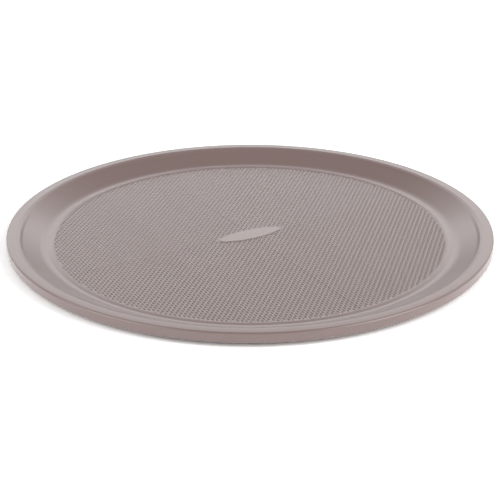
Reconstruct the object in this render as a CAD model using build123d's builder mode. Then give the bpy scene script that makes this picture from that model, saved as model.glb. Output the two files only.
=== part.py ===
"""Round pizza pan: one pressed sheet whose rim is rolled square over a steel wire.

Millimetres, +Z up. The origin is the middle of the flat base, on the surface
that the pan stands on. +X runs along the smooth oval in the middle of the floor.
"""

from build123d import *
import os
from math import atan2, degrees

os.makedirs("parts", exist_ok=True)

# The sheet and the dish that is pressed into it
gauge = 0.9
dish_depth = 10.6
floor_diameter = 343.6
floor_bend_radius = 10.2
wall_run = 15.1

# The bead round the embossed field: a low ridge that stiffens the floor near the wall
bead_inset = 6.6
bead_inner_run = 2.4
bead_outer_run = 2.8
bead_rise = 0.6
bead_foot_radius = 3.0
bead_crest_radius = 2.1

# The small step at the top of the wall, and the land that slopes up from it to the rim
step_run = 2.0
step_rise = 1.8
step_foot_radius = 1.5
step_head_radius = 1.2
land_width = 2.9
land_rise = 0.8
land_bend_radius = 2.1

# The square roll round the wire
wire_diameter = 6.0
wire_clearance = 0.2
roll_bend_radius = 0.6
hem_gap = 1.0

# The smooth oval in the embossed field, coined up by a little
oval_length = 53.0
oval_width = 19.0
oval_tip_width = 8.0
oval_rise = 0.3
oval_edge_angle = 45.0

# Places that follow from the sizes
floor_z = gauge
rim_z = floor_z + dish_depth
land_z = rim_z - land_rise
step_foot_z = land_z - step_rise
roll_size = wire_diameter + 2 * (wire_clearance + gauge)
roll_foot_z = rim_z - roll_size
hem_z = rim_z - gauge - hem_gap

floor_radius = floor_diameter / 2
bead_radius = floor_radius - bead_inset
bead_outer_radius = bead_radius + bead_outer_run
field_radius = bead_radius - bead_inner_run
wall_top_radius = floor_radius + wall_run
land_radius = wall_top_radius + step_run
roll_inner_radius = land_radius + land_width
rim_radius = roll_inner_radius + roll_size
wire_ring_radius = rim_radius - roll_size / 2
wire_z = rim_z - roll_size / 2


def draw_oval():
    """Outline of the oval: two long arcs that meet two blunt tips, each a tangent arc."""
    tip = (oval_length / 2, oval_tip_width / 2)
    long_arc = ThreePointArc((-tip[0], tip[1]), (0, oval_width / 2), tip)
    blunt_end = TangentArc(tip, (tip[0], -tip[1]), tangent=long_arc % 1)
    mirror(long_arc, about=Plane.XZ)
    mirror(blunt_end, about=Plane.YZ)


# The pan: the upper face of the sheet is drawn from the centre out to the end of
# the hem, and the sheet's gauge is laid on the under side of that line
with BuildPart() as pan_sheet:
    with BuildSketch(Plane.XZ):
        with BuildLine():
            FilletPolyline(
                (0, floor_z),
                (field_radius, floor_z),
                (bead_radius, floor_z + bead_rise),
                (bead_outer_radius, floor_z),
                (floor_radius, floor_z),
                (wall_top_radius, step_foot_z),
                (land_radius, land_z),
                (roll_inner_radius, rim_z),
                (rim_radius, rim_z),
                (rim_radius, roll_foot_z),
                (roll_inner_radius, roll_foot_z),
                (roll_inner_radius, hem_z),
                radius=(
                    bead_foot_radius,
                    bead_crest_radius + gauge,
                    bead_foot_radius,
                    floor_bend_radius,
                    step_foot_radius,
                    step_head_radius + gauge,
                    land_bend_radius + gauge,
                    roll_bend_radius + gauge,
                    roll_bend_radius + gauge,
                    roll_bend_radius + gauge,
                ),
            )
            offset(amount=gauge, side=Side.RIGHT)
        make_face()
    revolve(axis=Axis.Z)

    # The oval stands proud of the floor, and the same hollow shows from below
    with BuildSketch(Plane.XY.offset(floor_z)):
        with BuildLine():
            draw_oval()
        make_face()
    extrude(amount=oval_rise, taper=oval_edge_angle)
    with BuildSketch(Plane.XY):
        with BuildLine():
            draw_oval()
        make_face()
    extrude(amount=oval_rise, taper=oval_edge_angle, mode=Mode.SUBTRACT)

pan_sheet.part.label = "pan_sheet"
export_step(pan_sheet.part, "parts/pan_sheet.step")

# The wire: a closed ring that lies in the roll with a little room all round
with BuildPart() as rim_wire:
    with BuildSketch(Plane.XZ):
        with Locations((wire_ring_radius, wire_z)):
            Circle(wire_diameter / 2)
    revolve(axis=Axis.Z)

rim_wire.part.label = "rim_wire"
export_step(rim_wire.part, "parts/rim_wire.step")

wall_slope = degrees(atan2(step_foot_z - floor_z, wall_run))
print(f"rim {2 * rim_radius:.1f} wide, {rim_z:.1f} high; wall slopes {wall_slope:.1f} degrees")
print(f"roll {roll_size:.1f} square, its foot {roll_foot_z:.1f} above the table")
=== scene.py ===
"""Looks of the round pizza pan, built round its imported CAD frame.

Metres, +Z up. The pan stands on z = 0 with its axis on the origin, and +X runs
along the smooth oval in the middle of its embossed floor.
"""

import math

import bpy
import numpy as np
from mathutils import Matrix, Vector


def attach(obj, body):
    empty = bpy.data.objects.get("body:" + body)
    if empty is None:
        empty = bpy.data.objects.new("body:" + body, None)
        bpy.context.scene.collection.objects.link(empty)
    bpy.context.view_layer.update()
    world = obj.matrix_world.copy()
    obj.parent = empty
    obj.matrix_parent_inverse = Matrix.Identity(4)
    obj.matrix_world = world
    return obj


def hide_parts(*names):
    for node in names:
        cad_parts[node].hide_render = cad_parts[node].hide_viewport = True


MM = 0.001

# The pressed sheet, in millimetres. Each bend is that of the sheet's inner side. The foot of
# the wall and the bead lie a little off the CAD's
gauge = 0.9
dish_depth = 10.6
floor_radius = 171.0
floor_bend = 15.0
wall_run = 15.9
step_run = 2.0
step_rise = 1.8
step_foot_bend = 1.5
step_head_bend = 1.2
land_width = 2.9
land_drop = 0.8
land_bend = 2.1
roll_size = 8.2
roll_bend = 0.6
hem_gap = 1.0

# The bead: a low ridge round the embossed field, steep on the side towards the field
bead_inset = 0.3
bead_inner_run = 1.0
bead_outer_run = 3.4
bead_rise = 0.5
bead_foot_bend = 0.8
bead_crest_bend = 0.7
bead_end_bend = 3.0

# The embossing: slim dimples, long along Y, in rows that are set over by half a step
field_radius = 162.2
row_pitch = 2.51
dimple_depth = 0.60
dimple_half_width = 1.15
dimple_half_length = 3.30
dimple_flank = 0.70
ridge_relief = 0.13

# Over what distance the embossing fades out at its edges. From the oval it takes longer where
# the outline is further from the pan's axis than the second value
edge_fade = 0.8
oval_fade_radius = 12.0

# The press leaves panels whose dimples differ a little in depth. Each row of panels has the
# places of its edges along +X, and then each panel's share of the full depth
near_panels = ([-74.0, 0.0, 48.0], [1.10, 1.04, 1.00, 0.96])
far_panels = ([-70.0, -4.0, 70.0], [1.06, 1.00, 0.95, 0.92])

# The smooth oval: its outline, how far it stands up, and how wide the slope round it is
oval_length = 53.0
oval_width = 19.0
oval_tip_width = 8.0
oval_rise = 0.3
oval_slope = 0.9

# How finely the pieces are cut: steps round the shell, quads to a row of dimples, and the
# oval's rays, the rings on its top as shares of it, and the steps down its slope
turns = 540
quads_across = 4
quads_along = 3
oval_rays = 240
oval_rings = [0.0, 0.02, 0.25, 0.5, 0.7, 0.85, 0.93]
oval_slope_steps = 6

# Edges that turn by more than this many degrees are shaded sharp
crease_angle = 55.0

# Stands for a distance of nothing where something is divided by it
least_distance = 1e-9


def smooth(t):
    """The cubic 3t^2 - 2t^3 of t held between 0 and 1, which starts and ends level."""
    t = np.clip(t, 0.0, 1.0)
    return t * t * (3 - 2 * t)


def bent_line(corners):
    """A line through the corners, with a tangent arc at each but the first and the last.

    A corner is its two coordinates, its arc's radius and its arc's number of steps. The arc's
    centre is on the corner's bisector at radius / sin(half angle), and its points turn evenly
    from one run's normal to the next. Returns the points and, for each, the unit normal on
    the line's left.
    """
    spots = np.array([corner[:2] for corner in corners])
    points, normals = [], []
    for n, (*_, bend, steps) in enumerate(corners[1:-1], 1):
        into, out = spots[n] - spots[n - 1], spots[n + 1] - spots[n]
        into, out = into / np.linalg.norm(into), out / np.linalg.norm(out)
        left_in, left_out = np.array([-into[1], into[0]]), np.array([-out[1], out[0]])
        side = math.copysign(1.0, into[0] * out[1] - into[1] * out[0])
        middle = left_in + left_out
        centre = spots[n] + side * middle * bend / (1 + left_in @ left_out)
        start = math.atan2(left_in[1], left_in[0])
        sweep = side * math.acos(max(-1.0, min(1.0, left_in @ left_out)))
        angle = start + sweep * np.linspace(0, 1, steps + 1)
        normal = np.stack([np.cos(angle), np.sin(angle)], 1)
        points.append(centre - side * bend * normal)
        normals.append(normal)
    points = [spots[:1], *points, spots[-1:]]
    normals = [normals[0][:1], *normals, normals[-1][-1:]]
    return np.concatenate(points), np.concatenate(normals)


def add_object(name, data):
    """A new object of this name that holds the data, linked into the scene."""
    made = bpy.data.objects.new(name, data)
    bpy.context.scene.collection.objects.link(made)
    return made


def make_piece(name, points, faces, finish, press=None):
    """A mesh of quads from whole arrays, in millimetres, shaded smooth but for its sharp creases.

    Press, where given, says how deep the press went at each point, and is kept as an attribute.
    """
    mesh = bpy.data.meshes.new(name)
    mesh.vertices.add(len(points))
    mesh.vertices.foreach_set("co", (points * MM).astype(np.float32).ravel())
    mesh.loops.add(faces.size)
    mesh.loops.foreach_set("vertex_index", faces.astype(np.int32).ravel())
    mesh.polygons.add(len(faces))
    mesh.polygons.foreach_set("loop_start", np.arange(0, faces.size, 4, dtype=np.int32))
    mesh.update(calc_edges=True)
    mesh.validate()
    mesh.shade_smooth()
    mesh.set_sharp_from_angle(angle=math.radians(crease_angle))
    if press is not None:
        values = mesh.attributes.new("press", "FLOAT", "POINT").data
        values.foreach_set("value", press.astype(np.float32))
    mesh.materials.append(finish)
    return add_object(name, mesh)


def grid_faces(rows, columns, around=False, closed=False):
    """Quads between the points of a grid, which may close on itself along rows or columns."""
    i = np.arange(rows if around else rows - 1)
    j = np.arange(columns if closed else columns - 1)
    i, j = (g.ravel() for g in np.meshgrid(i, j, indexing="ij"))
    ni, nj = (i + 1) % rows, (j + 1) % columns
    return np.stack([i * columns + j, ni * columns + j, ni * columns + nj, i * columns + nj], 1)


def make_shell(finish):
    """The sheet outside the embossing: its profile, carried once round the axis.

    The profile's upper line runs from the edge of the embossing over the wall, the step and
    the land and round the square roll to the hem; the under line is the upper one moved by
    the gauge against its normal. A point at (r, z) goes to (r cos a, r sin a, z).
    """
    bead_foot = field_radius + bead_inset
    bead_crest = bead_foot + bead_inner_run
    wall_top = floor_radius + wall_run
    land = wall_top + step_run
    land_end = land + land_width
    rim = land_end + roll_size
    top = gauge + dish_depth

    # For each corner its radius and height, and then its bend on the upper line and the bend's
    # steps. Where the line is on the outside of a bend, the gauge is added to it
    corners = [
        (field_radius, gauge, 0, 0),
        (bead_foot, gauge, bead_foot_bend, 4),
        (bead_crest, gauge + bead_rise, bead_crest_bend + gauge, 6),
        (bead_crest + bead_outer_run, gauge, bead_end_bend, 4),
        (floor_radius, gauge, floor_bend, 14),
        (wall_top, top - land_drop - step_rise, step_foot_bend, 6),
        (land, top - land_drop, step_head_bend + gauge, 6),
        (land_end, top, land_bend + gauge, 4),
        (rim, top, roll_bend + gauge, 10),
        (rim, top - roll_size, roll_bend + gauge, 8),
        (land_end, top - roll_size, roll_bend + gauge, 8),
        (land_end, top - gauge - hem_gap, 0, 0),
    ]
    upper, normal = bent_line(corners)
    under = (upper - gauge * normal)[::-1]
    r, z = np.concatenate([upper, under]).T
    angle = np.linspace(0, 2 * np.pi, turns, endpoint=False)
    x, y = np.outer(np.cos(angle), r), np.outer(np.sin(angle), r)
    points = np.stack([x, y, np.tile(z, (turns, 1))], -1).reshape(-1, 3)
    faces = grid_faces(turns, len(r), around=True, closed=True)
    return make_piece("pan_shell", points, faces, finish)


def oval_reach(x, y):
    """How far the oval's outline is from its centre, in the direction of each point.

    The outline is two long arcs and two small arcs at the tips, tangent to them. Along a
    direction t the ray meets a circle of radius R centred at c where s^2 - 2 s (c.t) + c.c = R^2.
    """
    half, tip = oval_length / 2, oval_tip_width / 2
    sag = oval_width / 2 - tip
    long_radius = (half**2 + sag**2) / (2 * sag)
    end_angle = math.atan2(half, long_radius - sag)
    tip_radius = tip / math.cos(end_angle)
    tip_centre = half - tip_radius * math.sin(end_angle)
    length = np.maximum(np.hypot(x, y), least_distance)
    cx, cy = np.abs(x) / length, np.abs(y) / length
    drop = long_radius - oval_width / 2
    on_long = -drop * cy + np.sqrt((drop * cy) ** 2 + long_radius**2 - drop**2)
    on_tip = tip_centre * cx + np.sqrt(np.maximum(tip_radius**2 - (tip_centre * cy) ** 2, 0))
    return np.where(cx * tip > cy * half, on_tip, on_long)


def panel_depth(x, y):
    """How deep the dimple at (x, y) is, as a share, from the panel that it lies in."""
    near, far = (
        np.array(depths)[np.digitize(x, edges)] for edges, depths in (near_panels, far_panels)
    )
    return np.where(y < 0, near, far)


def open_field(x, y):
    """1 in the field, fading smoothly to 0 at its circle and at the oval.

    How far a point is past the oval is taken as (r / reach - 1) times r, or times the fade
    radius where that is less.
    """
    r = np.hypot(x, y)
    past_oval = (r / oval_reach(x, y) - 1) * np.minimum(r, oval_fade_radius)
    return smooth((field_radius - r) / edge_fade) * smooth(past_oval / edge_fade)


def dimples(x, y):
    """How deep the press goes at (x, y), from 0 on the ridges to the panel's share in a dimple.

    Columns of dimples stand one row pitch apart, with a dimple at every other row, and rows
    alternate. The distance from a dimple's middle, over its half width and half length, is 1
    at its edge, and the press rises smoothly from there over the flank.
    """
    column = np.round(x / row_pitch)
    row = 2 * np.round((y / row_pitch - column) / 2) + column
    share = panel_depth(column * row_pitch, row * row_pitch)
    dx, dy = x - column * row_pitch, y - row * row_pitch
    rho = np.hypot(dx / dimple_half_width, dy / dimple_half_length)
    return share * smooth((1 - rho) / dimple_flank) * open_field(x, y)


def used_points(kept):
    """Which points of a grid its kept cells use, and which of those are on their outline.

    A point is inside when every cell that meets at it is kept.
    """
    rows, columns = kept.shape
    used, full = np.zeros((2, rows + 1, columns + 1), int)
    for i in (0, 1):
        for j in (0, 1):
            corner = np.s_[i : i + rows, j : j + columns]
            used[corner] += kept
            full[corner] += 1
    return used > 0, (used > 0) & (used < full)


def slab_faces(kept, used, mirrored):
    """Quads of a slab over a grid's kept cells: its upper face, its under face and its walls.

    The used points are numbered row by row, and the under face's follow the upper face's. A
    cell's side that no other cell shares is on the outline, and a wall stands there.
    """
    number = np.cumsum(used).reshape(used.shape) - 1
    total = np.count_nonzero(used)
    i, j = np.nonzero(kept)
    quads = np.stack([number[i, j], number[i + 1, j], number[i + 1, j + 1], number[i, j + 1]], 1)
    if mirrored:
        quads = quads[:, ::-1]
    sides = np.concatenate([quads[:, [n, (n + 1) % 4]] for n in range(4)])
    code = sides.min(1) * total + sides.max(1)
    _, first, times = np.unique(code, return_index=True, return_counts=True)
    rim = sides[first[times == 1]]
    walls = np.stack([rim[:, 1], rim[:, 0], rim[:, 0] + total, rim[:, 1] + total], 1)
    return np.concatenate([quads, quads[:, ::-1] + total, walls])


def make_plate(name, sign_x, sign_y, finish):
    """A quarter of the embossed floor, between the pan's two axes, the circle and the oval.

    Its grid has a whole number of quads to a row. Quads whose middle is in the field are
    kept, and the outermost points of these slide along their radius onto the circle or the
    oval. The upper face is the gauge less the dimples' depth, and the under face rises by the
    ridges' relief where the press has not reached.
    """
    steps = row_pitch / quads_across, row_pitch / quads_along
    lines = [np.arange(int(field_radius / step) + 2) * step for step in steps]
    x, y = np.meshgrid(lines[0] * sign_x, lines[1] * sign_y, indexing="ij")
    middle = [(g[1:, 1:] + g[:-1, :-1]) / 2 for g in (x, y)]
    far = np.hypot(*middle)
    kept = (far < field_radius) & (far > oval_reach(*middle))
    used, outline = used_points(kept)
    r = np.maximum(np.hypot(x, y), least_distance)
    goal = np.where(r > field_radius / 2, field_radius, oval_reach(x, y))
    scale = np.where(outline, goal / r, 1.0)
    x, y = (x * scale)[used], (y * scale)[used]
    press = dimples(x, y)
    high = gauge - dimple_depth * press
    low = ridge_relief * np.clip(open_field(x, y) - press, 0, 1)
    points = np.concatenate([np.stack([x, y, z], 1) for z in (high, low)])
    faces = slab_faces(kept, used, mirrored=sign_x * sign_y < 0)
    return make_piece(name, points, faces, finish, press=np.tile(press, 2))


def make_oval(finish):
    """The smooth oval, a disc whose points lie on rays from its centre.

    The rings on its top are shares of it, and the rings of its slope fall smoothly from the top
    to the floor as they come out to the outline. The same hollow is pressed in from below.
    """
    angle = np.linspace(0, 2 * np.pi, oval_rays, endpoint=False)
    cx, cy = np.cos(angle), np.sin(angle)
    reach = oval_reach(cx, cy)
    share = np.array(oval_rings)[:, None]
    fall = np.linspace(0, 1, oval_slope_steps + 1)[:, None]
    r = np.concatenate([share * (reach - oval_slope), reach - oval_slope * (1 - fall)])
    height = np.concatenate([np.ones_like(share), 1 - smooth(fall)])
    rise = oval_rise * height * np.ones(oval_rays)
    upper = np.stack([r * cx, r * cy, gauge + rise], -1)
    lower = np.stack([r * cx, r * cy, rise], -1)[::-1]
    points = np.concatenate([upper, lower])
    faces = grid_faces(len(points), oval_rays, closed=True)
    return make_piece("floor_oval", points.reshape(-1, 3), faces, finish)


class Socket:
    """One output of a shader node. The signs +, - and * on it each add a Math node."""

    def __init__(self, finish, out):
        self.finish, self.out = finish, out

    def _sign(self, operation, first, second):
        return self.finish.node("ShaderNodeMath", {"operation": operation}, {0: first, 1: second})

    def __add__(self, other):
        return self._sign("ADD", self, other)

    __radd__ = __add__

    def __sub__(self, other):
        return self._sign("SUBTRACT", self, other)

    def __rsub__(self, other):
        return self._sign("SUBTRACT", other, self)

    def __mul__(self, other):
        return self._sign("MULTIPLY", self, other)

    __rmul__ = __mul__


class Finish:
    """A node tree that is filled one node at a time."""

    def __init__(self, owner):
        owner.use_nodes = True
        self.tree = owner.node_tree
        self.tree.nodes.clear()

    def node(self, kind, settings=None, inputs=None, output=0):
        """Adds a node, sets its settings and then its sockets, and returns one of its outputs."""
        made = self.tree.nodes.new(kind)
        for name, value in (settings or {}).items():
            setattr(made, name, value)
        for name, value in (inputs or {}).items():
            if isinstance(value, Socket):
                self.tree.links.new(value.out, made.inputs[name])
            else:
                made.inputs[name].default_value = value
        return Socket(self, made.outputs[output]) if made.outputs else made

    def noise(self, place, scale, detail, roughness):
        """Values from 0 to 1 that wander over the surface, with so many waves to the metre."""
        inputs = {"Vector": place, "Scale": scale, "Detail": detail, "Roughness": roughness}
        return self.node("ShaderNodeTexNoise", {}, inputs)

    def mixed(self, factor, first, second):
        """The first colour, turning into the second as the factor goes from 0 to 1."""
        inputs = {"Factor": factor, "A": first, "B": second}
        return self.node("ShaderNodeMix", {"data_type": "RGBA"}, inputs, output="Result")

    def surface(self, inputs):
        """A Principled surface with these inputs, led to the material's output."""
        shader = self.node("ShaderNodeBsdfPrincipled", {}, inputs)
        self.node("ShaderNodeOutputMaterial", {}, {"Surface": shader})


# The coating's two tones, the dark colour of the shade painted into a dimple, and how far the
# painted shade goes towards it
coat_dark = (0.205, 0.140, 0.130, 1)
coat_light = (0.239, 0.166, 0.155, 1)
pit_painted_shade_colour = (0.02, 0.014, 0.013, 1)
pit_painted_shade = 0.18

# The wire's two tones
wire_dark = (0.42, 0.42, 0.43, 1)
wire_light = (0.60, 0.60, 0.61, 1)


def coated_sheet():
    """Satin non-stick coating: mauve grey, with a fine even grain and a faint cloudiness.

    Shade is painted into the dimples: the colour darkens as the press goes deeper.
    """
    material = bpy.data.materials.new("satin_coating")
    f = Finish(material)
    place = f.node("ShaderNodeTexCoord", output="Object")
    cloud = f.noise(place, scale=14.0, detail=3.0, roughness=0.55)
    grain = f.noise(place, scale=2600.0, detail=2.0, roughness=0.6)
    peel = f.noise(place, scale=900.0, detail=2.0, roughness=0.5)
    press = f.node("ShaderNodeAttribute", {"attribute_name": "press"}, output="Fac")
    coat = f.mixed(0.35 * cloud + 0.65 * grain, coat_dark, coat_light)
    height = peel + 0.6 * grain
    bump = f.node("ShaderNodeBump", {}, {"Strength": 0.12, "Distance": 0.00004, "Height": height})
    f.surface(
        {
            # Painted shade: the colour darkens towards the bottom of each dimple, by how deep the
            # press went
            "Base Color": f.mixed(pit_painted_shade * press, coat, pit_painted_shade_colour),
            "Roughness": 0.30 + 0.05 * cloud + 0.05 * grain,
            "Coat Weight": 1.0,
            "Coat Roughness": 0.25,
            "Normal": bump,
        }
    )
    return material


def drawn_steel():
    """The rim's wire: plain drawn steel with fine marks."""
    material = bpy.data.materials.new("drawn_steel")
    f = Finish(material)
    place = f.node("ShaderNodeTexCoord", output="Object")
    marks = f.noise(place, scale=700.0, detail=4.0, roughness=0.65)
    cloud = f.noise(place, scale=40.0, detail=2.0, roughness=0.5)
    bump = f.node("ShaderNodeBump", {}, {"Strength": 0.2, "Distance": 0.00005, "Height": marks})
    f.surface(
        {
            "Base Color": f.mixed(cloud, wire_dark, wire_light),
            "Roughness": 0.28 + 0.2 * marks,
            "Metallic": 1.0,
            "Normal": bump,
        }
    )
    return material


# The camera stands off from the middle of the rim's top by this distance, at this height
# angle. It looks along this heading from +X, and down by the dip
camera_distance = 1.070
camera_height_angle = math.radians(22.44)
camera_dip = math.radians(23.66)
look_heading = math.radians(59.8)
camera_lens = 92.6
camera_sensor = 36.0


def direction(heading, height_angle):
    """Unit vector at a heading to the right of the camera's own, and an angle above the table."""
    a = look_heading - heading
    level = math.cos(height_angle)
    return Vector((math.cos(a) * level, math.sin(a) * level, math.sin(height_angle)))


def turn_along(made, way):
    """Turns a camera or a lamp so that it looks along the direction."""
    made.rotation_mode = "QUATERNION"
    made.rotation_quaternion = way.to_track_quat("-Z", "Y")


def make_camera():
    """The camera, where the values above place it."""
    data = bpy.data.cameras.new("camera")
    data.lens, data.sensor_width = camera_lens, camera_sensor
    data.clip_start, data.clip_end = 0.01, 50.0
    camera = add_object("camera", data)
    rim_top = (gauge + dish_depth) * MM
    away = direction(0.0, -camera_height_angle)
    camera.location = Vector((0, 0, rim_top)) - away * camera_distance
    turn_along(camera, direction(0.0, -camera_dip))
    bpy.context.scene.camera = camera


# The lamps: heading and height angle, distance from the pan, width, height and radiance
lamps = {
    "right_softbox": (116, 34, 1.6, 1.0, 1.4, 3.2),
    "left_softbox": (-116, 32, 1.6, 1.2, 1.3, 2.0),
    "back_strip": (0, 23.5, 3.0, 4.2, 0.5, 0.9),
}


def softbox(name, heading, height_angle, distance, width, height, radiance):
    """A plain area lamp that faces the pan. Its power is pi times its area and radiance."""
    data = bpy.data.lights.new(name, "AREA")
    data.shape, data.size, data.size_y = "RECTANGLE", width, height
    data.energy = math.pi * width * height * radiance
    lamp = add_object(name, data)
    aim = direction(math.radians(heading), math.radians(height_angle))
    lamp.location = aim * distance
    turn_along(lamp, -aim)
    lamp.visible_camera = False


# The room's light at the level of the table, the light up its walls and the ceiling's, and the
# height angles between which one passes into the next
table_line_light = 0.25
wall_light = 1.0
ceiling_light = 0.25
wall_from, wall_full = 0.0, 19.0
ceiling_from, ceiling_full = 28.0, 52.0


def make_room():
    """The world: a white room with a dark ceiling, all white where the camera sees it."""
    world = bpy.data.worlds.new("studio")
    bpy.context.scene.world = world
    f = Finish(world)
    seen = f.node("ShaderNodeLightPath", output="Is Camera Ray")
    toward = f.node("ShaderNodeTexCoord", output="Generated")
    up = f.node("ShaderNodeSeparateXYZ", {}, {"Vector": toward}, output="Z")

    def passing(start, end, first, last):
        """Light that goes smoothly from the first value to the last between two height angles."""
        ends = {
            "From Min": math.sin(math.radians(start)),
            "From Max": math.sin(math.radians(end)),
            "To Min": first,
            "To Max": last,
        }
        smoothly = {"interpolation_type": "SMOOTHSTEP"}
        return f.node("ShaderNodeMapRange", smoothly, {"Value": up, **ends})

    wall = passing(wall_from, wall_full, table_line_light, wall_light)
    ceiling = passing(ceiling_from, ceiling_full, 0.0, ceiling_light - wall_light)
    strength = (wall + ceiling) * (1 - seen) + seen
    sky = f.node("ShaderNodeBackground", {}, {"Color": (1, 1, 1, 1), "Strength": strength})
    f.node("ShaderNodeOutputWorld", {}, {"Surface": sky})


# The table: how white it is to the lamps, how white it shows to the camera and in reflections,
# half its width, and how far it lies below the pan
table_white = 0.9
table_shown = 1.48
table_reach = 5.0
table_drop = 0.00002


def make_table():
    """White table, which is clear when it is looked at from below."""
    material = bpy.data.materials.new("white_table")
    f = Finish(material)
    camera_ray = f.node("ShaderNodeLightPath", output="Is Camera Ray")
    glossy_ray = f.node("ShaderNodeLightPath", output="Is Glossy Ray")
    back = f.node("ShaderNodeNewGeometry", output="Backfacing")
    white, shown = ((tone, tone, tone, 1) for tone in (table_white, table_shown))
    colour = f.mixed(camera_ray + glossy_ray, white, shown)
    paper = f.node("ShaderNodeBsdfDiffuse", {}, {"Color": colour})
    clear = f.node("ShaderNodeBsdfTransparent")
    surface = f.node("ShaderNodeMixShader", {}, {"Fac": back, 1: paper, 2: clear})
    f.node("ShaderNodeOutputMaterial", {}, {"Surface": surface})
    mesh = bpy.data.meshes.new("table")
    signs = ((-1, -1), (1, -1), (1, 1), (-1, 1))
    corners = [(x * table_reach, y * table_reach, -table_drop) for x, y in signs]
    mesh.from_pydata(corners, [], [(0, 1, 2, 3)])
    mesh.materials.append(material)
    add_object("table", mesh)


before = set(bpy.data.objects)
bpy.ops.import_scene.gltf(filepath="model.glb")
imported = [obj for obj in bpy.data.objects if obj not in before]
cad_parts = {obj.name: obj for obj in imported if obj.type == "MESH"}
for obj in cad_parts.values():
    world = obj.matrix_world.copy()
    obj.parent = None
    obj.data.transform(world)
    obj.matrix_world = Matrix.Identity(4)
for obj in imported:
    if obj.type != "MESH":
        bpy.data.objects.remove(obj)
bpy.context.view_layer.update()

coating = coated_sheet()
pieces = [make_shell(coating), make_oval(coating)]
pieces += [
    make_plate("floor_plate_right_back", 1, 1, coating),
    make_plate("floor_plate_left_back", -1, 1, coating),
    make_plate("floor_plate_left_front", -1, -1, coating),
    make_plate("floor_plate_right_front", 1, -1, coating),
]
for piece in pieces:
    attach(piece, "root")
    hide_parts("pan_sheet")

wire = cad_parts["rim_wire"]
wire.data.materials.clear()
wire.data.materials.append(drawn_steel())

make_camera()
make_room()
make_table()
for name, values in lamps.items():
    softbox(name, *values)
bpy.context.scene.view_settings.view_transform = "Standard"
